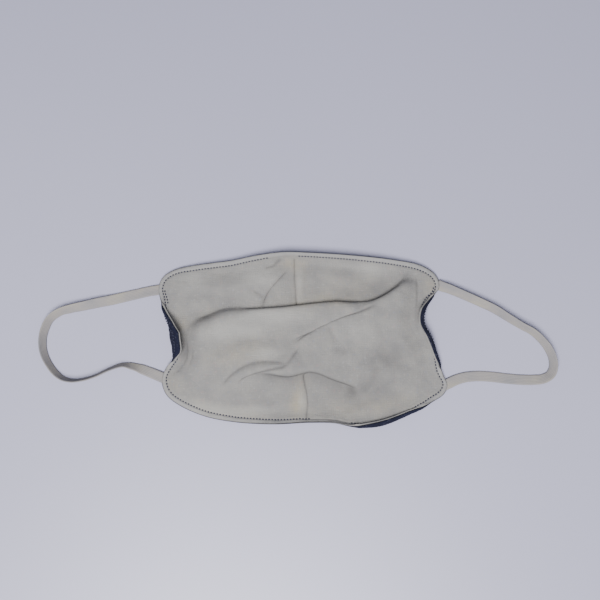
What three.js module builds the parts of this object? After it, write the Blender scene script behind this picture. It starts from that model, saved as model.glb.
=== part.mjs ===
// A cotton face mask lying inside up: a cream lining, a navy outer shell sewn to it round the rim,
// and two flat elastic ear loops. Millimetres, +Z up. The panel rests on z = 0 with its middle over
// the origin; +X runs towards the right ear loop and +Y towards the nose edge.
import * as THREE from "three";
import { mergeVertices } from "three/addons/utils/BufferGeometryUtils.js";

// Driving sizes of the two cloth walls.
const CLOTH = 1.0; // thickness of the lining, and of the shell
const GAP = 0.3; // air between lining and shell, and between a loop and the panel
const LINING_TUCK = 0.4; // how far the lining's rim stops short of the shell's
const REST_SNAP = 0.45; // shell underside closer to the surface than this lies flat on it
const LAYER_OFFSET = GAP / 2 + CLOTH; // from the sheet's middle to either outer face
const CENTRE_X = -0.81; // middle of the outline below, which the origin stands under
const CENTRE_Y = 0.48;

// Driving sizes of the sheet and its grid.
const BORDER = 9; // width of the border band between the outline and the inner patch
const CORE_HALF_X = 72; // the border runs square to a core rectangle of these half sizes
const CORE_HALF_Y = 22;
const COLUMNS = 33;
const ROWS_BELOW_PLEAT = 14;
const ROWS_ABOVE_PLEAT = 7;
const BORDER_ROWS = 4;
const PLEAT_CROWDING = 0.5; // share of each row's place that crowds towards the main pleat
const CROWDED_POWER = 1.8;
const PLEAT_PLACES = [0.35, 0.77]; // lowest and highest share of the depth that the rows crowd at
const VALLEY_FLOOR = LAYER_OFFSET; // lowest middle height: the shell lies on the surface there
const COMMON_LEVEL = 1.25; // middle height of cloth away from every fold
const EDGE_CALM = 0.3; // share of the raised folds' height that is left at the inner patch's edge
const EDGE_CALM_WIDTH = 0.12; // share of the patch over which they grow back to full height
const CURL_LIMIT = 0.55; // the rim leans in by at most this share of its rise

// Ear loops: flat elastic.
const ELASTIC_WIDTH = 7.4;
const ELASTIC_THICKNESS = 1.1;
const ELASTIC_CORNER = 0.3;
const ELASTIC_STEPS = 46;
const ELASTIC_CLEARANCE = 0.1; // the loops lie this far above the surface

// The outermost line of the panel, anticlockwise from the lower left corner.
// lean: how far the rim curls in over the panel. lift: height of the rim's middle.
// A row marked "corner" ends one side of the inner patch.
const OUTLINE = [
  // [x, y, lean, lift, mark]
  [-98.3, -39.9, 0, 1.5, "corner"],
  [-89.5, -47.1, 0, 1.6],
  [-70, -55.5, 0, 2.8],
  [-48, -59.7, 0, 4.2],
  [-20, -61.3, 0.2, 6.4],
  [4, -60.5, 0.8, 7.4],
  [22, -60.9, 1.6, 7.2],
  [36, -63.4, 1.0, 6.8],
  [54, -62.4, 2.4, 7.4],
  [75, -54.8, 2.0, 6.4],
  [92, -46.7, 0.9, 4.2],
  [102.4, -38.9, 0.2, 1.9, "corner"],
  [104.7, -33.5, 0, 1.6],
  [102.2, -26.6, 0.3, 2.6],
  [98.2, -14, 1.9, 6.4],
  [92.8, 0.6, 2.5, 10],
  [87.9, 10, 2.4, 11],
  [88.4, 19.2, 2.4, 10.4],
  [94.2, 29.6, 1.6, 6.6],
  [100.4, 37.4, 0.2, 2.8],
  [100.9, 42.6, 0, 1.8],
  [97.6, 49, 0, 1.8, "corner"],
  [87, 55, 0, 3.4],
  [66, 58.8, 0, 5.4],
  [36, 62.0, 0.2, 6.9],
  [6, 63.9, 0.3, 7.5],
  [-14, 64.4, 0.3, 7.4],
  [-34, 61.9, 0, 6.0],
  [-52, 58.4, 0, 4.6],
  [-80, 55.0, 0, 3.0],
  [-94.5, 52, 0, 1.8],
  [-103, 46.6, 0, 1.6, "corner"],
  [-106, 40, 0, 1.6],
  [-105.4, 32.6, 0.3, 3.0],
  [-101.6, 20.4, 1.7, 8.0],
  [-96.4, 9.4, 3.2, 11],
  [-94.8, 0, 7.0, 12],
  [-93.1, -8.4, 6.0, 10.6],
  [-93.2, -13.6, 1.8, 6.6],
  [-98.8, -20.4, 0.3, 2.7],
  [-101.9, -29.5, 0, 1.5],
];

// Folds and seams of the cloth. left and right: how much the cloth stands up beside the line, seen
// along its run; groove: height of the line itself; width: how softly the profile turns; reach: how
// far each side takes to come back to the common level; pull: how steeply the cloth is drawn in over
// the line, past 1 an overhang; fade: length over which each end dies away.
const FOLDS = [
  {
    name: "main_pleat", left: 0, right: 7.2, groove: -1.2, width: 1.5, reach: 34, pull: 1.0, fade: 26,
    run: [[-96, 5], [-84, 10], [-70, 17.5], [-56, 22], [-33, 22], [-10, 24], [20, 28], [50, 28.6], [66, 36], [84, 53]],
  },
  {
    name: "chin_step", left: 5.4, right: 0, groove: -0.8, width: 1.7, reach: 30, pull: 0.8, fade: 16,
    run: [[-52, -31], [-34, -25], [-10, -26.5], [6, -23.5], [22, -28.8], [38, -35], [44, -43]],
  },
  {
    name: "nose_diagonal", left: -0.6, right: 2.0, groove: -1.4, width: 1.6, reach: 13, pull: 0.5, fade: 9,
    run: [[-10, 54], [-19, 44], [-27, 33], [-33, 23]],
  },
  {
    name: "cheek_crease", left: 0.8, right: 0.8, groove: -1.8, width: 1.2, reach: 9, pull: 0.5, fade: 14,
    run: [[46, 20], [26, 14.5], [6, 5], [-9, -4.5]],
  },
  {
    name: "mouth_ridge", left: 0, right: 0, groove: 2.0, width: 3.0, reach: 8, pull: 0, fade: 12,
    run: [[-3, -8], [-12, -18], [-26, -22], [-40, -27], [-49, -35]],
  },
  {
    name: "left_hollow", left: 0, right: 0, groove: -3.6, width: 4.6, reach: 8, pull: 0, fade: 14,
    run: [[-96, 22], [-89, 8], [-85, -2], [-86, -13], [-93, -25]],
  },
  {
    name: "left_roll", left: 0, right: 0, groove: 2.6, width: 4.4, reach: 8, pull: 0, fade: 12,
    run: [[-82, 10], [-78, 0], [-79, -14], [-85, -26]],
  },
  {
    name: "right_hollow", left: 0, right: 0, groove: -2.4, width: 4.0, reach: 8, pull: 0, fade: 14,
    run: [[88, 46], [85.5, 30], [81.5, 16], [83, 4], [88, -12]],
  },
  {
    name: "right_roll", left: 0, right: 0, groove: 2.2, width: 4.0, reach: 8, pull: 0, fade: 12,
    run: [[80, 46], [76, 30], [74, 16], [76, 2]],
  },
  {
    name: "jaw_valley", left: 0, right: 0, groove: -2.0, width: 6.0, reach: 8, pull: 0, fade: 12,
    run: [[48, -5], [58, -9], [68, -11.5], [80, -8]],
  },
  {
    name: "chin_slope", left: 1.2, right: -0.6, groove: 0, width: 3.0, reach: 14, pull: 0, fade: 14,
    run: [[-72, -42], [-52, -45], [-26, -46], [-8, -45]],
  },
  {
    name: "nose_dart", left: 0.5, right: 0, groove: -0.6, width: 2.2, reach: 8, pull: 0, fade: 6,
    run: [[-5.5, 59], [-5.3, 42], [-4, 27]],
  },
  {
    name: "chin_dart", left: 0, right: 0.5, groove: -0.5, width: 2.2, reach: 8, pull: 0, fade: 6,
    run: [[1.6, -27], [2.6, -40], [2.4, -57]],
  },
];

// Broad rounded swells and dents: centre, half lengths across and along the turn, turn, height.
const SWELLS = [
  // [name, x, y, halfX, halfY, turnDegrees, height]
  ["left_cheek", -58, -12, 26, 20, 8, 1.8],
  ["right_cheek", 40, 2, 30, 18, -10, 1.2],
  ["upper_left", -62, 38, 34, 11, 8, 2.2],
  ["upper_right", 24, 47, 20, 10, -4, 0.5],
  ["right_dent", 57, 43, 13, 9, 20, -1.8],
  ["chin_floor", 12, -44, 30, 12, 0, -2.0],
  ["jaw_right", 74, -30, 18, 14, -20, 1.0],
];

// Ear loop routes from the upper corner round to the lower one: the middle line of the elastic, its
// roll, which raises the loop's outer edge, and how far it is still held up by the panel's corner.
const LEFT_LOOP = [
  // [x, y, rollDegrees, lift]
  [-106.9, 36.6, 0, 1.1],
  [-112, 35.9, 0, 0.7],
  [-120, 34.2, 2, 0.3],
  [-130, 31.8, 6, 0],
  [-140, 29.3, 14, 0],
  [-150, 27.1, 26, 0],
  [-160, 24.7, 36, 0],
  [-170, 22.4, 44, 0],
  [-177.5, 20.0, 54, 0],
  [-184.2, 14.9, 54, 0],
  [-187.6, 7.8, 52, 0],
  [-188.9, 0.5, 54, 0],
  [-188.3, -7, 56, 0],
  [-186, -13.6, 58, 0],
  [-182.6, -19.2, 60, 0],
  [-178.3, -24.4, 60, 0],
  [-173, -28.4, 64, 0],
  [-166.5, -30.1, 68, 0],
  [-159, -29.5, 70, 0],
  [-150, -26.9, 70, 0],
  [-140, -22.1, 66, 0],
  [-130, -18.8, 60, 0],
  [-122, -19.9, 42, 0],
  [-114, -22.5, 16, 0.2],
  [-107.5, -25.1, 2, 0.6],
  [-103.2, -26.9, 0, 0.9],
];
const RIGHT_LOOP = [
  // [x, y, rollDegrees, lift]
  [102.3, 39.4, 20, 0.4],
  [107, 37.6, 34, 0.2],
  [114, 34.6, 42, 0],
  [122, 31.0, 44, 0],
  [131, 26.8, 46, 0],
  [140.5, 22.1, 48, 0],
  [150, 15.9, 54, 0],
  [160, 9.6, 60, 0],
  [167.5, 5.3, 60, 0],
  [173.4, -0.2, 58, 0],
  [178, -6.3, 54, 0],
  [180.8, -13, 52, 0],
  [181.4, -19.6, 46, 0],
  [179.2, -25.4, 34, 0],
  [174, -28.5, 20, 0],
  [167, -29.3, 10, 0],
  [158, -29.2, 4, 0],
  [148, -28.4, 0, 0],
  [138, -27.2, 0, 0],
  [128, -26.6, 0, 0],
  [119, -27.2, 0, 0.2],
  [112, -29.0, 0, 0.5],
  [106, -31.7, 0, 1.0],
];

const MATERIALS = {
  cream_cotton: { color: 0xc9c5bd, roughness: 0.92, metalness: 0 },
  navy_cotton: { color: 0x1f2440, roughness: 0.9, metalness: 0 },
  grey_elastic: { color: 0xb3aca6, roughness: 0.8, metalness: 0 },
};

const clamp = THREE.MathUtils.clamp;
const lerp = THREE.MathUtils.lerp;
const smoothstep = THREE.MathUtils.smoothstep;
const rise = (x) => 1 / (1 + Math.exp(-x));

// ---- outline -----------------------------------------------------------------------------------

const outlinePlan = new THREE.CatmullRomCurve3(
  OUTLINE.map(([x, y]) => new THREE.Vector3(x - CENTRE_X, y - CENTRE_Y, 0)), true, "centripetal");
const outlineCurl = new THREE.CatmullRomCurve3(
  OUTLINE.map(([, , lean, lift]) => new THREE.Vector3(lean, lift, 0)), true, "centripetal");
const cornerRows = OUTLINE.flatMap((row, i) => (row[4] === "corner" ? [i] : []));

// The outline at a fraction of one side (0 lower, 1 right, 2 upper, 3 left), spaced by length.
function sideSampler(side) {
  const from = cornerRows[side];
  const to = side === 3 ? OUTLINE.length : cornerRows[side + 1];
  const fine = 120;
  const curveParam = (k) => ((from + ((to - from) * k) / fine) / OUTLINE.length) % 1;
  const lengths = [0];
  let last = outlinePlan.getPoint(curveParam(0));
  for (let k = 1; k <= fine; k++) {
    const next = outlinePlan.getPoint(curveParam(k));
    lengths.push(lengths[k - 1] + next.distanceTo(last));
    last = next;
  }
  return (fraction) => {
    const wanted = clamp(fraction, 0, 1) * lengths[fine];
    let k = 0;
    while (k < fine - 1 && lengths[k + 1] < wanted) k++;
    const within = (wanted - lengths[k]) / (lengths[k + 1] - lengths[k]);
    const u = curveParam(k + clamp(within, 0, 1));
    const plan = outlinePlan.getPoint(u);
    const curl = outlineCurl.getPoint(u);
    return { x: plan.x, y: plan.y, lean: Math.max(0, curl.x), lift: curl.y };
  };
}
const sides = [0, 1, 2, 3].map(sideSampler);

// The horizontal direction from an outline point in over the panel, square to the core.
function inward(x, y) {
  const dx = clamp(x, -CORE_HALF_X, CORE_HALF_X) - x;
  const dy = clamp(y, -CORE_HALF_Y, CORE_HALF_Y) - y;
  const length = Math.hypot(dx, dy);
  return { x: dx / length, y: dy / length };
}
function innerEdge(side, fraction) {
  const o = sides[side](fraction);
  const n = inward(o.x, o.y);
  return { x: o.x + n.x * BORDER, y: o.y + n.y * BORDER };
}

// ---- folds -------------------------------------------------------------------------------------

const foldRuns = FOLDS.map((fold) => {
  const curve = new THREE.CatmullRomCurve3(
    fold.run.map(([x, y]) => new THREE.Vector3(x - CENTRE_X, y - CENTRE_Y, 0)), false, "centripetal");
  const points = curve.getSpacedPoints(8 * fold.run.length);
  return { ...fold, points, length: curve.getLength() };
});

// Signed distance to a fold (left of its run is positive), the unit normal to the left, and how
// much of the fold is left at the nearest place on it.
function nearFold(fold, x, y) {
  const last = fold.points.length - 1;
  let best = { distance2: Infinity };
  for (let k = 0; k < last; k++) {
    const a = fold.points[k];
    const b = fold.points[k + 1];
    const tx = b.x - a.x;
    const ty = b.y - a.y;
    const share = clamp(((x - a.x) * tx + (y - a.y) * ty) / (tx * tx + ty * ty), 0, 1);
    const dx = x - a.x - tx * share;
    const dy = y - a.y - ty * share;
    const distance2 = dx * dx + dy * dy;
    if (distance2 < best.distance2) best = { distance2, k: k + share, dx, dy, tx, ty };
  }
  const size = Math.hypot(best.tx, best.ty);
  const normal = { x: -best.ty / size, y: best.tx / size };
  const along = (best.k / last) * fold.length;
  const strength =
    smoothstep(along, 0, fold.fade) * smoothstep(fold.length - along, 0, fold.fade);
  const side = Math.sign(best.dx * normal.x + best.dy * normal.y);
  return { distance: side * Math.sqrt(best.distance2), normal, strength };
}

// Where the sheet's middle lies over a plan point: folded height, and the plan point drawn in
// towards steep folds.
const PULL_REACH = 6;
function drape(x, y, calm) {
  let height = 0;
  let movedX = x;
  let movedY = y;
  for (const fold of foldRuns) {
    const { distance: d, normal, strength } = nearFold(fold, x, y);
    const onLeft = fold.left * rise(d / fold.width) * Math.exp(-Math.max(d, 0) / fold.reach);
    const onRight = fold.right * rise(-d / fold.width) * Math.exp(-Math.max(-d, 0) / fold.reach);
    const atLine = fold.groove * Math.exp(-((d / (2 * fold.width)) ** 2));
    height += strength * (onLeft + onRight + atLine);
    const draw = strength * fold.pull * d * Math.exp(-((d / PULL_REACH) ** 2));
    movedX -= normal.x * draw;
    movedY -= normal.y * draw;
  }
  for (const [, cx, cy, halfX, halfY, turn, rises] of SWELLS) {
    const c = Math.cos((turn * Math.PI) / 180);
    const s = Math.sin((turn * Math.PI) / 180);
    const dx = x + CENTRE_X - cx;
    const dy = y + CENTRE_Y - cy;
    const across = (dx * c + dy * s) / halfX;
    const along = (dy * c - dx * s) / halfY;
    height += rises * Math.exp(-(across * across + along * along));
  }
  height *= height > 0 ? calm : 1;
  const over = COMMON_LEVEL + height - VALLEY_FLOOR; // soft floor: cloth can't sink through it
  const settled = VALLEY_FLOOR + Math.log1p(Math.exp(2.2 * over)) / 2.2 - 0.05;
  return { x: movedX, y: movedY, z: Math.max(VALLEY_FLOOR, settled) };
}

// ---- sheet -------------------------------------------------------------------------------------

// The inner patch is blended from its four edges (a Coons patch); the share of its depth at which
// the main pleat crosses each column sets where the rows crowd together.
function patchPlan(s, t) {
  const low = innerEdge(0, s);
  const high = innerEdge(2, 1 - s);
  const left = innerEdge(3, 1 - t);
  const right = innerEdge(1, t);
  const corners = [innerEdge(0, 0), innerEdge(0, 1), innerEdge(2, 1), innerEdge(2, 0)];
  const blend = (axis) =>
    (1 - t) * low[axis] + t * high[axis] + (1 - s) * left[axis] + s * right[axis] -
    (1 - s) * (1 - t) * corners[0][axis] - s * (1 - t) * corners[1][axis] -
    (1 - s) * t * corners[2][axis] - s * t * corners[3][axis];
  return { x: blend("x"), y: blend("y") };
}

const pleat = foldRuns.find((fold) => fold.name === "main_pleat");
function pleatCrossing(s) {
  let [low, high] = PLEAT_PLACES;
  for (let k = 0; k < 24; k++) {
    const middle = (low + high) / 2;
    const p = patchPlan(s, middle);
    if (nearFold(pleat, p.x, p.y).distance > 0) high = middle;
    else low = middle;
  }
  return (low + high) / 2;
}

const ROWS = ROWS_BELOW_PLEAT + ROWS_ABOVE_PLEAT;
const crowd = (away) => lerp(away, away ** CROWDED_POWER, PLEAT_CROWDING);
function rowShare(row, crossing) {
  if (row <= ROWS_BELOW_PLEAT) return crossing * (1 - crowd(1 - row / ROWS_BELOW_PLEAT));
  return crossing + (1 - crossing) * crowd((row - ROWS_BELOW_PLEAT) / ROWS_ABOVE_PLEAT);
}

// The border band at one outline point, from the inner patch's edge (0) out to the rim (1): it dips
// under the rim where the rim leans in, and is a plain slope where it doesn't.
function borderPoint(outline, edge, fraction) {
  const { lift } = outline;
  const lean = Math.min(outline.lean, CURL_LIMIT * Math.max(0, lift - edge.z));
  const n = inward(outline.x, outline.y);
  const turnOut = -7.5 * (1 - Math.exp(-(lean * lean) / 6));
  const across = [BORDER, 5.5 - 0.6 * lean, turnOut, lean];
  const up = [edge.z, lerp(edge.z, lift, 0.05), lerp(edge.z, lift, 0.5), lift];
  const f = fraction;
  const weight = [(1 - f) ** 3, 3 * f * (1 - f) ** 2, 3 * f * f * (1 - f), f ** 3];
  const sum = (values) => values.reduce((total, v, k) => total + v * weight[k], 0);
  const drawn = { x: edge.x - (outline.x + n.x * BORDER), y: edge.y - (outline.y + n.y * BORDER) };
  return new THREE.Vector3(
    outline.x + n.x * sum(across) + drawn.x * weight[0],
    outline.y + n.y * sum(across) + drawn.y * weight[0],
    Math.max(VALLEY_FLOOR, sum(up)));
}

// The sheet's middle surface: points, upward triangles, and its rim as a loop of point numbers.
function makeSheet() {
  const points = [];
  const triangles = [];
  const quad = (a, b, c, d) => triangles.push(a, b, c, a, c, d);
  const at = (column, row) => row * (COLUMNS + 1) + column;
  const crossings = [];
  for (let column = 0; column <= COLUMNS; column++) crossings.push(pleatCrossing(column / COLUMNS));
  const sideCrossing = { left: crossings[0], right: crossings[COLUMNS] };
  for (let row = 0; row <= ROWS; row++) {
    for (let column = 0; column <= COLUMNS; column++) {
      const s = column / COLUMNS;
      const t = rowShare(row, crossings[column]);
      const plan = patchPlan(s, t);
      const room = smoothstep(Math.min(s, 1 - s, t, 1 - t), 0, EDGE_CALM_WIDTH);
      const p = drape(plan.x, plan.y, lerp(EDGE_CALM, 1, room));
      points.push(new THREE.Vector3(p.x, p.y, p.z));
    }
  }
  for (let row = 0; row < ROWS; row++) {
    for (let column = 0; column < COLUMNS; column++) {
      quad(at(column, row), at(column + 1, row), at(column + 1, row + 1), at(column, row + 1));
    }
  }

  // The patch's own edge, anticlockwise, each point with its place on the outline.
  const loop = [];
  for (let column = 0; column < COLUMNS; column++) {
    loop.push([at(column, 0), sides[0](column / COLUMNS)]);
  }
  for (let row = 0; row < ROWS; row++) {
    loop.push([at(COLUMNS, row), sides[1](rowShare(row, sideCrossing.right))]);
  }
  for (let column = COLUMNS; column > 0; column--) {
    loop.push([at(column, ROWS), sides[2](1 - column / COLUMNS)]);
  }
  for (let row = ROWS; row > 0; row--) {
    loop.push([at(0, row), sides[3](1 - rowShare(row, sideCrossing.left))]);
  }
  let inner = loop.map(([index]) => index);
  for (let step = 1; step <= BORDER_ROWS; step++) {
    const outer = loop.map(([index, outline]) => {
      points.push(borderPoint(outline, points[index], step / BORDER_ROWS));
      return points.length - 1;
    });
    outer.forEach((index, k) => {
      const next = (k + 1) % outer.length;
      quad(index, outer[next], inner[next], inner[k]);
    });
    inner = outer;
  }
  return { points, triangles, rim: inner, inside: loop.map(([, outline]) => outline) };
}

const sheet = makeSheet();
const sheetGeometry = new THREE.BufferGeometry().setFromPoints(sheet.points);
sheetGeometry.setIndex(sheet.triangles);
sheetGeometry.computeVertexNormals();
const sheetNormals = sheet.points.map((_, k) =>
  new THREE.Vector3().fromBufferAttribute(sheetGeometry.attributes.normal, k));

// A cloth wall between two offsets from the sheet's middle, with its rim drawn in by tuck.
function clothWall(topOffset, bottomOffset, tuck) {
  const rimPlace = new Map(sheet.rim.map((index, k) => [index, sheet.inside[k]]));
  const face = (offset) =>
    sheet.points.map((p, k) => {
      const moved = p.clone().addScaledVector(sheetNormals[k], offset);
      const place = rimPlace.get(k);
      if (place) {
        const n = inward(place.x, place.y);
        moved.x += n.x * tuck;
        moved.y += n.y * tuck;
      }
      if (moved.z < REST_SNAP) moved.z = 0;
      return moved;
    });
  const count = sheet.points.length;
  const index = [...sheet.triangles];
  for (let k = 0; k < sheet.triangles.length; k += 3) {
    const [a, b, c] = sheet.triangles.slice(k, k + 3);
    index.push(a + count, c + count, b + count);
  }
  sheet.rim.forEach((a, k) => {
    const b = sheet.rim[(k + 1) % sheet.rim.length];
    index.push(a, a + count, b + count, a, b + count, b);
  });
  const geometry = new THREE.BufferGeometry().setFromPoints([
    ...face(topOffset), ...face(bottomOffset)]);
  geometry.setIndex(index);
  return mergeVertices(geometry);
}

// ---- ear loops ---------------------------------------------------------------------------------

// A route whose section turns with the elastic's roll instead of following the bends. outerSide is
// 1 where the loop's outside lies left of the route, and -1 where it lies right.
class ElasticRoute extends THREE.CatmullRomCurve3 {
  constructor(rows, outerSide) {
    const points = rows.map(([x, y, rollDegrees, lift]) => {
      const roll = THREE.MathUtils.degToRad(rollDegrees);
      const rest = (ELASTIC_WIDTH * Math.sin(roll) + ELASTIC_THICKNESS * Math.cos(roll)) / 2;
      return new THREE.Vector3(x - CENTRE_X, y - CENTRE_Y, rest + lift + ELASTIC_CLEARANCE);
    });
    super(points, false, "centripetal");
    this.rolls = rows.map(([, , rollDegrees]) => outerSide * THREE.MathUtils.degToRad(rollDegrees));
  }
  rollAt(fraction) {
    const place = this.getUtoTmapping(fraction) * (this.rolls.length - 1);
    const row = Math.min(Math.floor(place), this.rolls.length - 2);
    return lerp(this.rolls[row], this.rolls[row + 1], smoothstep(place - row, 0, 1));
  }
  computeFrenetFrames(segments) {
    const frames = { tangents: [], normals: [], binormals: [] };
    const up = new THREE.Vector3(0, 0, 1);
    for (let k = 0; k <= segments; k++) {
      const tangent = this.getTangentAt(k / segments);
      const level = new THREE.Vector3().crossVectors(up, tangent).normalize();
      const normal = level.applyAxisAngle(tangent, this.rollAt(k / segments));
      frames.tangents.push(tangent);
      frames.normals.push(normal);
      frames.binormals.push(new THREE.Vector3().crossVectors(tangent, normal));
    }
    return frames;
  }
}

function earLoop(rows, outerSide) {
  const w = ELASTIC_WIDTH / 2;
  const h = ELASTIC_THICKNESS / 2;
  const c = ELASTIC_CORNER;
  const corners = [
    [w, h - c], [w - c, h], [c - w, h], [-w, h - c],
    [-w, c - h], [c - w, -h], [w - c, -h], [w, c - h],
  ];
  return new THREE.ExtrudeGeometry(
    new THREE.Shape(corners.map(([x, y]) => new THREE.Vector2(x, y))),
    { steps: ELASTIC_STEPS, extrudePath: new ElasticRoute(rows, outerSide), bevelEnabled: false });
}

// ---- assembly ----------------------------------------------------------------------------------

const mask = new THREE.Group();
function add(name, geometry, material) {
  const mesh = new THREE.Mesh(geometry, new THREE.MeshStandardMaterial(MATERIALS[material]));
  mesh.name = name;
  mask.add(mesh);
}
add("lining", clothWall(LAYER_OFFSET, GAP / 2, LINING_TUCK), "cream_cotton");
add("outer_shell", clothWall(-GAP / 2, -LAYER_OFFSET, 0), "navy_cotton");
add("ear_loop_left", earLoop(LEFT_LOOP, -1), "grey_elastic");
add("ear_loop_right", earLoop(RIGHT_LOOP, 1), "grey_elastic");

export default mask;
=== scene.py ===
# A cotton face mask lying inside up: cream lining, navy outer shell, navy topstitching, and two flat
# elastic ear loops. The panel lies on the floor with its middle over the origin, +X towards the right
# ear loop and +Y towards the nose edge. Tables are in millimetres; meshes are in metres.

import math

import bmesh
import bpy
import numpy as np
from mathutils import Matrix, Vector, noise


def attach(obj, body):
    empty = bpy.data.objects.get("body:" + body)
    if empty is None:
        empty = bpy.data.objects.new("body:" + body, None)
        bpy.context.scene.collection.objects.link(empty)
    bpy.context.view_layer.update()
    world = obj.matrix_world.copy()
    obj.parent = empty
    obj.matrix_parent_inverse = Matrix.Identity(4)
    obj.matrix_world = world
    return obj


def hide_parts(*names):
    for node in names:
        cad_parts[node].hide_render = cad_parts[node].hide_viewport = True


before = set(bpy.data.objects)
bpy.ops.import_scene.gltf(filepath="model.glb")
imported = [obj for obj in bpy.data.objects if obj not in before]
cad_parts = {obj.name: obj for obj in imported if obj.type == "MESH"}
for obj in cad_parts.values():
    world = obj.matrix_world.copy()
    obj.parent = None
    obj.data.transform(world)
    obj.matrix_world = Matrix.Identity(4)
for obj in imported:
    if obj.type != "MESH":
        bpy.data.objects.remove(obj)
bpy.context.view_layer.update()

# ---- Camera -------------------------------------------------------------------------------------
# The camera stands over the mask, a little in front of it and ten degrees off the vertical.
CAMERA_PLACE = (-0.00103, -0.07639, 0.59811)
CAMERA_TILT = 10
CAMERA_LENS = 49.455
SENSOR_WIDTH = 36
camera_data = bpy.data.cameras.new("camera")
camera_data.sensor_width = SENSOR_WIDTH
camera_data.lens = CAMERA_LENS
camera = bpy.data.objects.new("camera", camera_data)
camera.location = CAMERA_PLACE
camera.rotation_euler = (math.radians(CAMERA_TILT), 0, 0)
bpy.context.scene.collection.objects.link(camera)
bpy.context.scene.camera = camera

# ---- Floor and studio light ---------------------------------------------------------------------
# A smooth pale grey table top with a faint lavender tint, under a broad soft light from overhead.
FLOOR_SIZE = 3.0
FLOOR_COLOUR = (0.368, 0.362, 0.470)
FLOOR_TINTS = (0.96, 1.04)
FLOOR_CLOUD_SCALE = 3.0
FLOOR_ROUGHNESS = 0.38
ROOM_COLOUR = (0.80, 0.85, 1.0)
ROOM_STRENGTH = 0.36
SOFT_LIGHT_PLACE = (-0.16, -0.66, 1.25)
SOFT_LIGHT_SIZE = 0.7
SOFT_LIGHT_WATTS = 45.0


def mesh_piece(name, bm, smooth=True):
    """A mesh object made from a bmesh and linked into the scene."""
    mesh = bpy.data.meshes.new(name)
    bm.to_mesh(mesh)
    bm.free()
    for polygon in mesh.polygons:
        polygon.use_smooth = smooth
    made = bpy.data.objects.new(name, mesh)
    bpy.context.scene.collection.objects.link(made)
    return made


def new_material(name, roughness):
    """A node material of one roughness, its node tree and its Principled shader."""
    material = bpy.data.materials.new(name)
    material.use_nodes = True
    tree = material.node_tree
    shader = tree.nodes["Principled BSDF"]
    shader.inputs["Roughness"].default_value = roughness
    return material, tree, shader


def add_node(tree, kind, links=(), **settings):
    """A shader node with settings and values; links are (input, socket or value) pairs."""
    node = tree.nodes.new(kind)
    for key, value in settings.items():
        setattr(node, key, value)
    for key, value in links:
        if isinstance(value, bpy.types.NodeSocket):
            tree.links.new(value, node.inputs[key])
        else:
            node.inputs[key].default_value = value
    return node


bm = bmesh.new()
bmesh.ops.create_grid(bm, x_segments=8, y_segments=8, size=FLOOR_SIZE / 2)
floor = mesh_piece("floor", bm, smooth=False)
material, tree, shader = new_material("table_top", FLOOR_ROUGHNESS)
where = add_node(tree, "ShaderNodeTexCoord").outputs["Object"]
cloud = add_node(
    tree, "ShaderNodeTexNoise", [("Vector", where), ("Scale", FLOOR_CLOUD_SCALE), ("Detail", 2.0)])
tint = add_node(tree, "ShaderNodeMix", [(0, cloud.outputs["Fac"])], data_type="RGBA")
for socket, share in zip((6, 7), FLOOR_TINTS):
    tint.inputs[socket].default_value = (*(share * c for c in FLOOR_COLOUR), 1)
tree.links.new(tint.outputs[2], shader.inputs["Base Color"])
floor.data.materials.append(material)

soft_light_data = bpy.data.lights.new("soft_light", "AREA")
soft_light_data.size = SOFT_LIGHT_SIZE
soft_light_data.energy = SOFT_LIGHT_WATTS
soft_light = bpy.data.objects.new("soft_light", soft_light_data)
soft_light.location = SOFT_LIGHT_PLACE
soft_light.rotation_euler = (-Vector(SOFT_LIGHT_PLACE)).to_track_quat("-Z", "Y").to_euler()
bpy.context.scene.collection.objects.link(soft_light)

world = bpy.data.worlds.new("room")
world.use_nodes = True
world.node_tree.nodes["Background"].inputs["Color"].default_value = (*ROOM_COLOUR, 1)
world.node_tree.nodes["Background"].inputs["Strength"].default_value = ROOM_STRENGTH
bpy.context.scene.world = world

# ---- Ear loops ----------------------------------------------------------------------------------
# Flat ribbed elastic, knitted grey-beige, sewn in between lining and shell at the four corners.
# Each loop lies on the floor and leans over on its edge where the soft band is bent sideways.
MM = 0.001
CENTRE = np.array([-0.81, 0.48])
ELASTIC_WIDTH = 7.4
ELASTIC_THICKNESS = 1.1
ELASTIC_CLEARANCE = 0.1
ELASTIC_RIBS = 7
ELASTIC_STEP = 0.6
POINTS_PER_RIB = 4
RIB_DEPTH = 0.18
BAND_EDGE_POWER = 10
ELASTIC_DARK = (0.185, 0.181, 0.190, 1)
ELASTIC_MIDDLE = (0.228, 0.212, 0.208, 1)
ELASTIC_PALE = (0.265, 0.245, 0.214, 1)

# Middle line of the elastic from the upper corner to the lower one, roll that raises the outer edge,
# and height it is still held up by the panel. The first and last rows lie inside the seam.
LEFT_LOOP = [
    # x, y, roll in degrees, lift
    [-103.6, 37.3, 0, 1.0],
    [-106.9, 36.6, 0, 1.1],
    [-112, 35.9, 0, 0.7],
    [-120, 34.2, 2, 0.3],
    [-130, 31.8, 6, 0],
    [-140, 29.3, 14, 0],
    [-150, 27.1, 26, 0],
    [-160, 24.7, 36, 0],
    [-170, 22.4, 44, 0],
    [-177.5, 20.0, 54, 0],
    [-184.2, 14.9, 54, 0],
    [-187.6, 7.8, 52, 0],
    [-188.9, 0.5, 54, 0],
    [-188.3, -7, 56, 0],
    [-186, -13.6, 58, 0],
    [-182.6, -19.2, 60, 0],
    [-178.3, -24.4, 60, 0],
    [-173, -28.4, 64, 0],
    [-166.5, -30.1, 68, 0],
    [-159, -29.5, 70, 0],
    [-150, -26.9, 70, 0],
    [-140, -22.1, 66, 0],
    [-130, -18.8, 60, 0],
    [-122, -19.9, 42, 0],
    [-114, -22.5, 16, 0.2],
    [-107.5, -25.1, 2, 0.6],
    [-103.2, -26.9, 0, 0.9],
    [-100.2, -28.2, 0, 0.9],
]
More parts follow.
